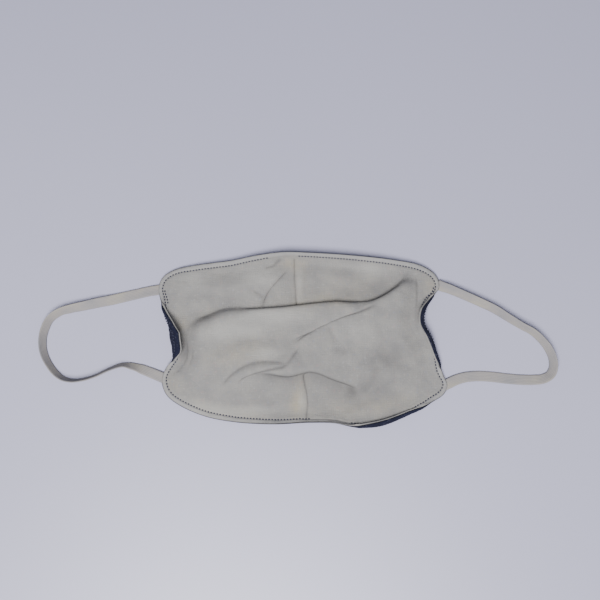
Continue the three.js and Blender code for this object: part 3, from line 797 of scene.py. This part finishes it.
def cloth_wall(name, sheet, top_offset, bottom_offset, tuck, puff):
    """A closed cloth wall between two offsets from the sheet's middle, rounded along its rim."""
    r = sheet.rim_distance
    half = (top_offset - bottom_offset) / 2
    middle = (top_offset + bottom_offset) / 2
    roundness = np.sqrt(np.clip(1 - (1 - np.clip(r / half, 0.12, 1)) ** 2, 0, 1))
    margin = smoothstep(r, 0.2, 1.4) * smoothstep(r, 3.9, 3.1)
    groove = np.exp(-(((r - STITCH_INSET) / 0.5) ** 2))
    pucker = np.array([
        noise.noise(Vector((x / PUCKER_SIZE, y / PUCKER_SIZE, 4.0))) if d < PUCKER_REACH else 0.0
        for (x, y), d in zip(sheet.cut, r)])
    puckered = PUCKER_RISE * pucker * smoothstep(r, PUCKER_REACH, 4)
    relief = puff * (MARGIN_RISE * margin - STITCH_GROOVE * groove + puckered)
    shift = tuck * smoothstep(r, 2.0, 0.0)
    upright = sheet.uprightness[:, None]
    normals = sheet.normals * (1 - upright) + np.array([0, 0, 1.0]) * upright
    normals /= np.linalg.norm(normals, axis=1)[:, None]
    inward = np.zeros((len(r), 2))
    grid_count = len(r) - sheet.rings * sheet.count
    inward[grid_count:] = np.tile(sheet.inward, (sheet.rings, 1))
    top = sheet.points + normals * (middle + half * roundness + np.maximum(relief, 0)
                                          + np.minimum(relief, 0) * (top_offset > 0))[:, None]
    bottom = sheet.points + normals * (
        middle - half * roundness - np.maximum(relief, 0) * (top_offset < 0))[:, None]
    for face in (top, bottom):
        face[:, :2] += inward * shift[:, None]
        face[:, 2] = np.maximum(face[:, 2], FLOOR_CLEARANCE)

    bm = bmesh.new()
    uv = bm.loops.layers.uv.new("cut")
    shade = bm.verts.layers.float.new("shade")
    margin_layer = bm.verts.layers.float.new("margin")
    number = bm.verts.layers.int.new("number")
    bmesh.ops.create_grid(bm, x_segments=sheet.columns, y_segments=sheet.rows, size=0.5)
    for vert in bm.verts:
        column = round((vert.co.x + 0.5) * sheet.columns)
        row = round((vert.co.y + 0.5) * sheet.rows)
        vert[number] = row * (sheet.columns + 1) + column
    place = {int(n): k for k, n in enumerate(sheet.edge)}
    rim = [edge for edge in bm.edges if edge.is_boundary]
    for ring in range(sheet.rings):
        made = bmesh.ops.extrude_edge_only(bm, edges=rim)["geom"]
        rim = [g for g in made if isinstance(g, bmesh.types.BMEdge) and g.is_boundary]
        for vert in (g for g in made if isinstance(g, bmesh.types.BMVert)):
            k = place[vert[number]] if ring == 0 else (vert[number] - grid_count) % sheet.count
            vert[number] = grid_count + ring * sheet.count + k
    bmesh.ops.recalc_face_normals(bm, faces=bm.faces)
    if sum(f.normal.z for f in list(bm.faces)[:200]) < 0:
        bmesh.ops.reverse_faces(bm, faces=bm.faces)
    copied = bmesh.ops.duplicate(bm, geom=[*bm.verts, *bm.edges, *bm.faces])
    twin = copied["vert_map"]
    under = {g for g in copied["geom"] if isinstance(g, bmesh.types.BMVert)}
    bmesh.ops.reverse_faces(bm, faces=[g for g in copied["geom"] if isinstance(g, bmesh.types.BMFace)])
    for edge in rim:
        a, b = edge.link_loops[0].vert, edge.link_loops[0].link_loop_next.vert
        bm.faces.new((b, a, twin[a], twin[b]))
    for vert in bm.verts:
        n = vert[number]
        vert.co = (bottom if vert in under else top)[n] * MM
        vert[shade] = sheet.shade[n]
        vert[margin_layer] = float(margin[n])
    for face in bm.faces:
        for corner in face.loops:
            corner[uv].uv = sheet.cut[corner.vert[number]]
    return mesh_piece(name, bm), top, bottom


def node_group(name, inputs, outputs):
    """An empty shader node group with its input and output nodes."""
    group = bpy.data.node_groups.new(name, "ShaderNodeTree")
    for socket, kind in inputs:
        group.interface.new_socket(name=socket, in_out="INPUT", socket_type=kind)
    for socket, kind in outputs:
        group.interface.new_socket(name=socket, in_out="OUTPUT", socket_type=kind)
    return group, group.nodes.new("NodeGroupInput"), group.nodes.new("NodeGroupOutput")


def maths(tree, operation, *values):
    """The outcome of a maths node over one or two values or sockets."""
    node = add_node(tree, "ShaderNodeMath", enumerate(values), operation=operation)
    return node.outputs[0]


# Plain weave, from the place on the flat cloth in millimetres: the height of the threads, and slubs
# where single threads are thicker or darker.
THREAD_PITCH = 0.42
SLUB_HEIGHT = 3.0
WEAVE_STRENGTH = 0.6
WEAVE_DEPTH = 0.00025
weave, given, out = node_group(
    "plain_weave",
    [("Cut", "NodeSocketVector")],
    [("Height", "NodeSocketFloat"), ("Slub", "NodeSocketFloat")])
split = add_node(weave, "ShaderNodeSeparateXYZ", [(0, given.outputs["Cut"])])
waves = []
for axis in ("X", "Y"):
    angle = maths(weave, "MULTIPLY", split.outputs[axis], math.pi / THREAD_PITCH)
    waves.append(maths(weave, "SINE", angle))
slubs = []
for scale in ((0.10, 2.0, 1.0), (2.0, 0.10, 1.0)):
    mapping = add_node(
        weave, "ShaderNodeMapping", [("Vector", given.outputs["Cut"]), ("Scale", scale)])
    slubs.append(add_node(
        weave, "ShaderNodeTexNoise",
        [("Vector", mapping.outputs[0]), ("Scale", 1.0), ("Detail", 3.0)]).outputs["Fac"])
slub = maths(weave, "ADD", *slubs)
threads = maths(weave, "MULTIPLY", *waves)
height = maths(weave, "ADD", threads, maths(weave, "MULTIPLY", slub, SLUB_HEIGHT))
weave.links.new(height, out.inputs["Height"])
weave.links.new(slub, out.inputs["Slub"])

# Wear of the cloth, from the same place: cloudy greying, and small flecks of lint and dye.
FLECK_LOW = 0.62
FLECK_HIGH = 0.72
wear, given, out = node_group(
    "cloth_wear",
    [("Cut", "NodeSocketVector")],
    [("Cloud", "NodeSocketFloat"), ("Blue Fleck", "NodeSocketFloat"), ("Pink Fleck", "NodeSocketFloat"),
     ("Pale Fleck", "NodeSocketFloat")])
cloud = add_node(
    wear, "ShaderNodeTexNoise",
    [("Vector", given.outputs["Cut"]), ("Scale", 0.07), ("Detail", 5.0), ("Roughness", 0.62)])
wear.links.new(cloud.outputs["Fac"], out.inputs["Cloud"])
for output, scale, shift in (
    ("Blue Fleck", 0.42, 11.0),
    ("Pink Fleck", 0.34, 37.0),
    ("Pale Fleck", 0.50, 71.0),
):
    moved = add_node(
        wear, "ShaderNodeVectorMath", [(0, given.outputs["Cut"]), (1, (shift, shift, 0.0))],
        operation="ADD")
    flecks = add_node(
        wear, "ShaderNodeTexNoise",
        [("Vector", moved.outputs[0]), ("Scale", scale), ("Detail", 1.0)])
    mask = add_node(
        wear, "ShaderNodeMapRange",
        [("Value", flecks.outputs["Fac"]), ("From Min", FLECK_LOW), ("From Max", FLECK_HIGH)])
    wear.links.new(mask.outputs[0], out.inputs[output])


def mix(tree, share, first, second):
    """The colour output of a mix of two colours, each a socket or three numbers."""
    node = tree.nodes.new("ShaderNodeMix")
    node.data_type = "RGBA"
    for key, value in ((0, share), (6, first), (7, second)):
        if isinstance(value, bpy.types.NodeSocket):
            tree.links.new(value, node.inputs[key])
        else:
            node.inputs[key].default_value = value if key == 0 else (*value, 1)
    return node.outputs[2]


def scaled(tree, value, low, high, from_low=0.0, from_high=1.0):
    """A value mapped from one range onto another, held within it."""
    node = add_node(
        tree, "ShaderNodeMapRange",
        [("Value", value), ("From Min", from_low), ("From Max", from_high), ("To Min", low),
         ("To Max", high)])
    return node.outputs[0]


# Yellowed stains, charted over the panel: centre, half lengths, turn, strength.
STAINS = [
    # x, y, half_x, half_y, turn in degrees, strength
    [-7, 56, 10, 5, 0, 0.55],
    [-3, 42, 5, 14, 0, 0.30],
    [12, 30, 34, 6, 4, 0.35],
    [6, 24, 30, 5, 6, 0.40],
    [-4, -48, 5, 9, 0, 0.80],
    [-2, -36, 6, 10, 0, 0.45],
    [-42, -10, 22, 9, 10, 0.42],
    [-66, -50, 16, 5, -24, 0.30],
    [-44, -53, 18, 4, -8, 0.40],
    [-88, 12, 6, 8, 20, 0.30],
    [-70, 18, 14, 4, 20, 0.25],
    [30, -50, 22, 7, 4, 0.35],
    [66, -46, 16, 6, 18, 0.35],
    [94, 40, 6, 6, 0, 0.35],
    [36, 42, 20, 8, 0, 0.22],
    [-96, -34, 8, 8, 0, 0.30],
]

# Tone laid over the panel: darker patches, partly soil and partly painted shade in its hollows, and
# paler ones (strength below zero), painted light on its high parts, where the low relief alone shows too
# little.
SOIL_AND_PAINTED_SHADING_PATCHES = [
    # x, y, half_x, half_y, turn in degrees, strength
    [26, -34, 22, 8, -20, 0.38],
    [-4, -29, 16, 5, 0, 0.22],
    [-20, -28, 12, 4, 0, 0.34],
    [62, -13, 16, 9, 0, 0.16],
    [50, -31, 12, 9, 30, 0.15],
    [58, 38, 17, 8, 22, 0.24],
    [-61, 18, 13, 3.2, 20, 0.22],
    [-85, -5, 4, 11, 0, 0.40],
    [-69, 13, 9, 4, 25, 0.24],
    [34, 33, 13, 5, 0, 0.14],
    [-34, -46, 15, 3.2, 0, 0.22],
    [62, -42, 14, 10, 0, 0.14],
    [-34, 46, 17, 7, 0, -0.60],
    [-80, 43, 11, 7, 0, -0.45],
    [-28, -11, 12, 5, 0, -0.50],
    [-42, 6, 24, 7, 0, -0.40],
    [42, 5, 17, 7, 0, -0.35],
    [50, 51, 10, 5, 0, -0.30],
    [-22, 16, 26, 5, 0, -0.45],
    [-62, 5, 16, 8, 10, -0.30],
    [-62, -51, 22, 5, -12, -0.50],
    [-35, -51, 14, 5, 0, -0.35],
    [-1, -46, 3, 7, 0, -0.40],
    [-2, 42, 3, 13, 0, -0.35],
    [40, 53, 30, 4, -4, -0.30],
]

# Colours of the lining: the woven cream, and what stains, lint, the pressed margin, soil with painted
# shade, and painted light make of it.
DULL_CREAM = (0.201, 0.195, 0.190)
CREAM = (0.258, 0.247, 0.230)
YELLOWED = (0.300, 0.264, 0.198)
SLUB_GREY = (0.204, 0.201, 0.204)
BLUE_LINT = (0.180, 0.192, 0.240)
PINK_LINT = (0.300, 0.216, 0.210)
PALE_LINT = (0.408, 0.402, 0.390)
PALE_MARGIN = (0.372, 0.366, 0.372)
PAINTED_LIGHT_TONE = (0.396, 0.384, 0.360)
SOIL_AND_PAINTED_SHADE_TONE = (0.045, 0.043, 0.046)


def cloth_material(name, roughness):
    """A woven cloth's material, node tree and shader, and its weave and wear nodes."""
    material, tree, shader = new_material(name, roughness)
    cut = add_node(tree, "ShaderNodeUVMap", uv_map="cut").outputs["UV"]
    thread = add_node(tree, "ShaderNodeGroup", node_tree=weave)
    worn = add_node(tree, "ShaderNodeGroup", node_tree=wear)
    for group in (thread, worn):
        tree.links.new(cut, group.inputs["Cut"])
    bump = add_node(
        tree, "ShaderNodeBump",
        [("Height", thread.outputs["Height"]), ("Strength", WEAVE_STRENGTH), ("Distance", WEAVE_DEPTH)])
    tree.links.new(bump.outputs[0], shader.inputs["Normal"])
    return material, tree, shader, thread, worn


cream_cotton, tree, shader, thread, worn = cloth_material("cream_cotton", 0.92)
stain = add_node(tree, "ShaderNodeAttribute", attribute_name="stain").outputs["Fac"]
shade = add_node(tree, "ShaderNodeAttribute", attribute_name="shade").outputs["Fac"]
margin = add_node(tree, "ShaderNodeAttribute", attribute_name="margin").outputs["Fac"]
colour = mix(tree, scaled(tree, worn.outputs["Cloud"], 0, 1, 0.34, 0.66),
             DULL_CREAM, CREAM)
broken = maths(tree, "MULTIPLY", stain, scaled(tree, worn.outputs["Cloud"], 0.4, 1.5, 0.3, 0.7))
colour = mix(tree, broken, colour, YELLOWED)
colour = mix(tree, scaled(tree, thread.outputs["Slub"], 0.42, 0.0, 0.78, 1.12), colour, SLUB_GREY)
colour = mix(tree, scaled(tree, worn.outputs["Blue Fleck"], 0, 0.30), colour, BLUE_LINT)
colour = mix(tree, scaled(tree, worn.outputs["Pink Fleck"], 0, 0.26), colour, PINK_LINT)
colour = mix(tree, scaled(tree, worn.outputs["Pale Fleck"], 0, 0.16), colour, PALE_LINT)
colour = mix(tree, scaled(tree, margin, 0, 0.30), colour, PALE_MARGIN)
# Painted light where the shade is below zero, then soil and painted shade where it is above.
colour = mix(tree, scaled(tree, shade, 0, 1, 0, -1), colour, PAINTED_LIGHT_TONE)
colour = mix(tree, scaled(tree, shade, 0, 1), colour, SOIL_AND_PAINTED_SHADE_TONE)
tree.links.new(colour, shader.inputs["Base Color"])

sheet = Sheet(columns=216, below=92, above=46)
lining, lining_top, _ = cloth_wall("lining_cloth", sheet, LAYER_OFFSET, GAP / 2, LINING_TUCK, 1.0)
stain_layer = lining.data.attributes.new("stain", "FLOAT", "POINT")
numbers = np.empty(len(lining.data.vertices), int)
lining.data.attributes["number"].data.foreach_get("value", numbers)
flat = sheet.cut[numbers]
stained = sum_of_patches(STAINS, flat)
stain_layer.data.foreach_set("value", stained.astype(np.float32))
# Painted shade and soil along the folds, plus the patches of soil, painted shade and painted light.
soil_and_painted_shading = sheet.shade[numbers] + sum_of_patches(SOIL_AND_PAINTED_SHADING_PATCHES, flat)
lining.data.attributes["shade"].data.foreach_set("value", soil_and_painted_shading.astype(np.float32))
lining.data.materials.append(cream_cotton)
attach(lining, "root")
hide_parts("lining")

# ---- Outer shell --------------------------------------------------------------------------------
# The navy cotton outside of the mask, which lies underneath here and shows along the rim where the
# sides curl up: a second wall of woven cloth, sewn to the lining.
NAVY_DARK = (0.0024, 0.0033, 0.0145)
NAVY = (0.0040, 0.0053, 0.0215)
NAVY_LINT = (0.10, 0.10, 0.14)
NAVY_SLUB = (0.03, 0.033, 0.06)

navy_cotton, tree, shader, thread, worn = cloth_material("navy_cotton", 0.88)
shader.inputs["Specular IOR Level"].default_value = 0.3
colour = mix(tree, scaled(tree, worn.outputs["Cloud"], 0, 1, 0.34, 0.66),
             NAVY_DARK, NAVY)
colour = mix(tree, scaled(tree, worn.outputs["Pale Fleck"], 0, 0.30), colour, NAVY_LINT)
colour = mix(tree, scaled(tree, thread.outputs["Slub"], 0.0, 0.10, 0.95, 1.2), colour, NAVY_SLUB)
tree.links.new(colour, shader.inputs["Base Color"])

shell_sheet = Sheet(columns=150, below=62, above=32)
outer_shell, _, shell_bottom = cloth_wall(
    "shell_cloth", shell_sheet, -GAP / 2, -LAYER_OFFSET, 0.0, 0.6)
outer_shell.data.materials.append(navy_cotton)
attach(outer_shell, "root")
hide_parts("outer_shell")

# ---- Topstitching -------------------------------------------------------------------------------
# Navy machine stitches through both cloths, one row a few millimetres inside the rim, with a second
# row where the ear loops are tacked down. Each stitch is a short thread sunk into the cloth.
STITCH_PITCH = 2.2
STITCH_LENGTH = 1.6
STITCH_WIDTH = 1.1
STITCH_DEPTH = 0.8
STITCH_RISE = 0.40
STITCH_WOBBLE = 0.10
WOBBLE_LENGTH = 3.1
THREAD_DARK = (0.006, 0.007, 0.020)
THREAD_PALE = (0.022, 0.024, 0.055)

# Stretches of the rim, as places on the outline: those without a visible stitch, and those with a
# second row, which holds an ear loop down.
BARE_STRETCHES = ((5.05, 6.9), (25.4, 26.6))
TACKED_STRETCHES = ((16.3, 19.6), (32.3, 33.6))


def add_stitches(bm, sheet, face, inset, stretches, bare, up):
    """Stitches along the ring at one distance from the rim, over some stretches of the outline."""
    ring = sheet.ring(inset)
    line = face[np.append(ring, ring[0])]
    run = lengths_along(line)
    place = np.unwrap(np.append(sheet.place, sheet.place[0] + outline.count), period=outline.count)
    normal = sheet.normals[np.append(ring, ring[0])] * up
    for k in range(int(run[-1] / STITCH_PITCH)):
        at = (k + 0.5) * STITCH_PITCH
        where = np.interp(at, run, place) % outline.count
        if any(low <= where <= high for low, high in bare):
            continue
        if stretches and not any(low <= where <= high for low, high in stretches):
            continue
        centre = Vector([np.interp(at, run, line[:, axis]) for axis in range(3)])
        ahead = Vector([np.interp(at + 0.5, run, line[:, axis]) for axis in range(3)])
        upward = Vector([np.interp(at, run, normal[:, axis]) for axis in range(3)]).normalized()
        along = (ahead - centre).normalized()
        aside = upward.cross(along).normalized()
        upward = along.cross(aside)
        wobble = STITCH_WOBBLE * noise.noise(Vector((at / WOBBLE_LENGTH, inset, 0.0)))
        half = Vector((STITCH_LENGTH, STITCH_WIDTH, STITCH_DEPTH)) / 2
        centre += aside * wobble + upward * STITCH_RISE
        turn = Matrix((along * half.x, aside * half.y, upward * half.z)).transposed()
        bmesh.ops.create_icosphere(
            bm, subdivisions=1, radius=MM,
            matrix=Matrix.Translation(centre * MM) @ turn.to_4x4())


navy_thread, tree, shader = new_material("navy_thread", 0.75)
where = add_node(tree, "ShaderNodeTexCoord").outputs["Object"]
twist = add_node(tree, "ShaderNodeTexNoise", [("Vector", where), ("Scale", 900.0)])
colour = mix(tree, twist.outputs["Fac"], THREAD_DARK, THREAD_PALE)
tree.links.new(colour, shader.inputs["Base Color"])

bm = bmesh.new()
add_stitches(bm, sheet, lining_top, STITCH_INSET, (), BARE_STRETCHES, 1)
add_stitches(bm, sheet, lining_top, SECOND_ROW_INSET, TACKED_STRETCHES, (), 1)
inside_stitches = mesh_piece("topstitching_inside", bm)
bm = bmesh.new()
add_stitches(bm, shell_sheet, shell_bottom, STITCH_INSET, (), (), -1)
add_stitches(bm, shell_sheet, shell_bottom, SECOND_ROW_INSET, TACKED_STRETCHES, (), -1)
outside_stitches = mesh_piece("topstitching_outside", bm)
for stitches in (inside_stitches, outside_stitches):
    stitches.data.materials.append(navy_thread)
    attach(stitches, "root")
